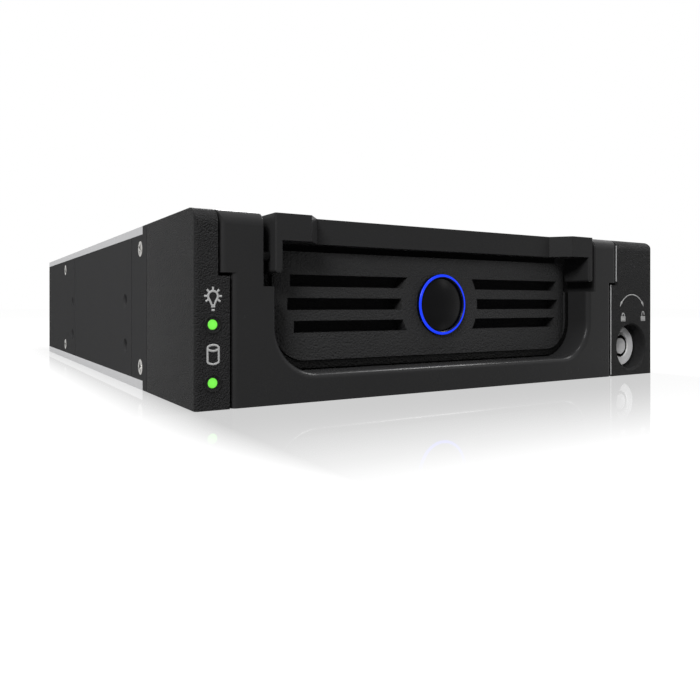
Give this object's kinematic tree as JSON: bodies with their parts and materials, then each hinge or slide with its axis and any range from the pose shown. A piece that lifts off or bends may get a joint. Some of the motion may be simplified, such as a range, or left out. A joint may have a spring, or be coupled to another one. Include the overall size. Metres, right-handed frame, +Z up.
{
  "type": "hot swap drive cage",
  "caption": "Removable drive carrier in a sheet-metal cage with a moulded front, folding handle, push button, status lamps, cam lock, backplane and fan, for a front bay of a computer.",
  "frame": {"origin": "middle of the whole footprint, handle included, on the underside", "axes": "+X to the viewer's right of the front, +Y from the front to the rear, +Z up"},
  "size_m": [0.146, 0.1944, 0.04],
  "materials": {
    "black_plastic": "smooth moulded black with a soft sheen",
    "textured_plastic": "finely grained black moulding",
    "button_plastic": "dark domed cap",
    "latch_plastic": "black acetal",
    "guide_plastic": "moulded guide",
    "connector_plastic": "black connector shell",
    "fan_plastic": "black fan moulding",
    "lamp_plastic": "surface-mounted lamp",
    "green_lamp": "lit green light pipe",
    "blue_light": "lit blue ring",
    "black_steel": "black zinc plate",
    "tray_steel": "bright zinc plate",
    "cover_aluminium": "clear anodised sheet",
    "screw_steel": "nickel plated",
    "black_screw": "black oxide",
    "lock_chrome": "polished chrome",
    "bearing_brass": "sintered bronze",
    "circuit_board": "green solder mask on glass laminate"
  },
  "bodies": {
    "cage": {"front_bezel": "black_plastic", "left_side_rail": "black_steel", "right_side_rail": "black_steel", "top_cover": "cover_aluminium", "bottom_cover": "cover_aluminium", "rear_panel": "black_steel", "left_guide_rail": "guide_plastic", "right_guide_rail": "guide_plastic", "backplane_board": "circuit_board", "dock_connector": "connector_plastic", "data_connector": "connector_plastic", "power_connector": "connector_plastic", "fan_frame": "fan_plastic", "fan_bearing": "bearing_brass", "fan_screws": "screw_steel", "lamp_board": "circuit_board", "upper_led": "lamp_plastic", "lower_led": "lamp_plastic", "upper_light_pipe": "green_lamp", "lower_light_pipe": "green_lamp", "lock_housing": "lock_chrome", "lock_nut": "screw_steel", "side_screws": "screw_steel", "bezel_screws": "screw_steel", "rear_screws": "screw_steel", "board_screws": "screw_steel", "guide_screws": "screw_steel"},
    "carrier": {"carrier_front": "black_plastic", "vent_panel": "textured_plastic", "ring_light": "blue_light", "handle_pins": "latch_plastic", "drive_tray": "tray_steel", "tray_screws": "screw_steel"},
    "handle": {"handle": "black_plastic"},
    "button": {"button_cap": "button_plastic", "latch_pins": "screw_steel"},
    "left_bolt": {"left_latch_bolt": "latch_plastic"},
    "right_bolt": {"right_latch_bolt": "latch_plastic"},
    "lock_core": {"lock_core": "lock_chrome", "lock_cam": "screw_steel", "cam_screw": "screw_steel"},
    "fan_rotor": {"fan_rotor": "fan_plastic", "fan_shaft": "screw_steel"}
  },
  "joints": [
    {"name": "carrier_slide", "type": "slide", "parent": "cage", "child": "carrier", "axis": [0, -1, 0], "range_m": [0, 0.16]},
    {"name": "handle_hinge", "type": "hinge", "parent": "carrier", "child": "handle", "pos_m": [-0.0059, -0.0938, 0.0309], "axis": [1, 0, 0], "range_deg": [0, 90]},
    {"name": "button_press", "type": "slide", "parent": "carrier", "child": "button", "axis": [0, 1, 0], "range_m": [0, 0.0018], "stiffness_N_per_m": 400, "springref_m": -0.004},
    {"name": "left_bolt_slide", "type": "slide", "parent": "carrier", "child": "left_bolt", "axis": [1, 0, 0], "range_m": [0, 0.0018]},
    {"name": "right_bolt_slide", "type": "slide", "parent": "carrier", "child": "right_bolt", "axis": [-1, 0, 0], "range_m": [0, 0.0018]},
    {"name": "lock_turn", "type": "hinge", "parent": "cage", "child": "lock_core", "pos_m": [0.063, -0.0813, 0.0084], "axis": [0, -1, 0], "range_deg": [0, 90]},
    {"name": "fan_spin", "type": "hinge", "parent": "cage", "child": "fan_rotor", "pos_m": [-0.0382, 0.0892, 0.02], "axis": [0, 1, 0], "continuous": true}
  ],
  "couplings": [
    {"joint": "left_bolt_slide", "follows": "button_press", "ratio": 1},
    {"joint": "right_bolt_slide", "follows": "button_press", "ratio": 1}
  ]
}
